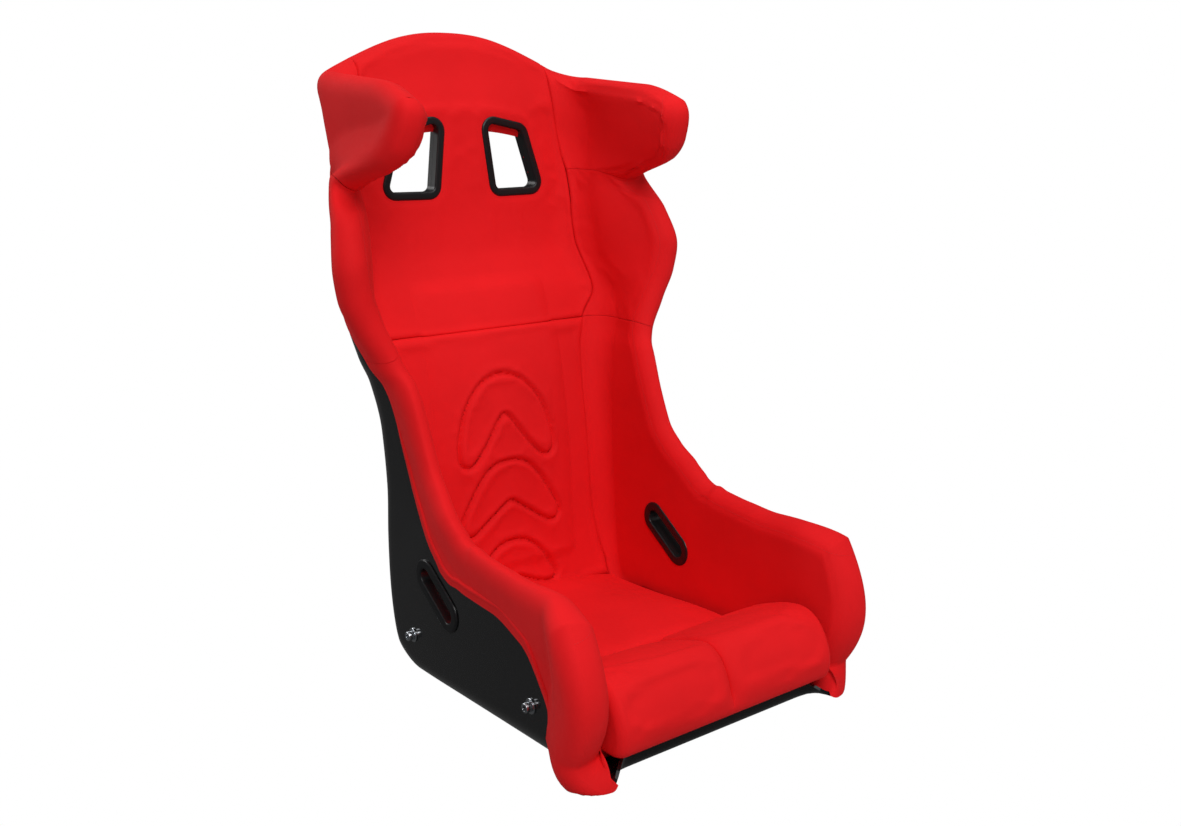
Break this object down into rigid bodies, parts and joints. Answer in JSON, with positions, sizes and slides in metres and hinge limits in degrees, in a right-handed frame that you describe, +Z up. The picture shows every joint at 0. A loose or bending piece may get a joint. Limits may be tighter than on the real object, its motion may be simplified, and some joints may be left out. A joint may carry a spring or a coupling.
{
  "type": "racing seat",
  "caption": "Fixed-back bucket racing seat: moulded shell with padded bolsters and head wings, two loose cushions, belt windows and slots, and side mounts.",
  "frame": {"origin": "on the floor, under the middle of the seat's box", "axes": "+Z up, the sitter looks along -Y, X runs across the seat from one side mount to the other"},
  "size_m": [0.5432, 0.6514, 0.8743],
  "materials": {
    "shell_gelcoat": "black gelcoat, high gloss",
    "red_cloth": "red knitted polyester over foam, matt",
    "black_plastic": "black moulded plastic, satin",
    "hook_and_loop": "black hook-and-loop tape",
    "zinc_plated_steel": "bright zinc plate"
  },
  "bodies": {
    "seat": {"seat_shell": "shell_gelcoat", "thigh_bolster_left": "red_cloth", "shoulder_bolster_left": "red_cloth", "head_wing_left": "red_cloth", "thigh_bolster_right": "red_cloth", "shoulder_bolster_right": "red_cloth", "head_wing_right": "red_cloth", "upper_back_panel": "red_cloth", "lumbar_pad": "red_cloth", "seat_cushion_strip_front": "hook_and_loop", "seat_cushion_strip_rear": "hook_and_loop", "thigh_cushion_strip": "hook_and_loop", "window_bezel_front_left": "black_plastic", "window_bezel_rear_left": "black_plastic", "lap_slot_bezel_outer_left": "black_plastic", "lap_slot_bezel_inner_left": "black_plastic", "window_bezel_front_right": "black_plastic", "window_bezel_rear_right": "black_plastic", "lap_slot_bezel_outer_right": "black_plastic", "lap_slot_bezel_inner_right": "black_plastic", "crotch_slot_trim": "black_plastic", "side_bolt_front_left": "zinc_plated_steel", "side_washer_front_left": "zinc_plated_steel", "threaded_insert_front_left": "zinc_plated_steel", "side_bolt_rear_left": "zinc_plated_steel", "side_washer_rear_left": "zinc_plated_steel", "threaded_insert_rear_left": "zinc_plated_steel", "side_bolt_front_right": "zinc_plated_steel", "side_washer_front_right": "zinc_plated_steel", "threaded_insert_front_right": "zinc_plated_steel", "side_bolt_rear_right": "zinc_plated_steel", "side_washer_rear_right": "zinc_plated_steel", "threaded_insert_rear_right": "zinc_plated_steel"},
    "seat_cushion": {"seat_cushion": "red_cloth"},
    "thigh_cushion": {"thigh_cushion": "red_cloth"}
  },
  "joints": [
    {"name": "seat_cushion_lift", "type": "slide", "parent": "seat", "child": "seat_cushion", "axis": [0, 0, 1], "range_m": [0, 0.3]},
    {"name": "thigh_cushion_lift", "type": "slide", "parent": "seat", "child": "thigh_cushion", "axis": [0, 0, 1], "range_m": [0, 0.3]}
  ]
}
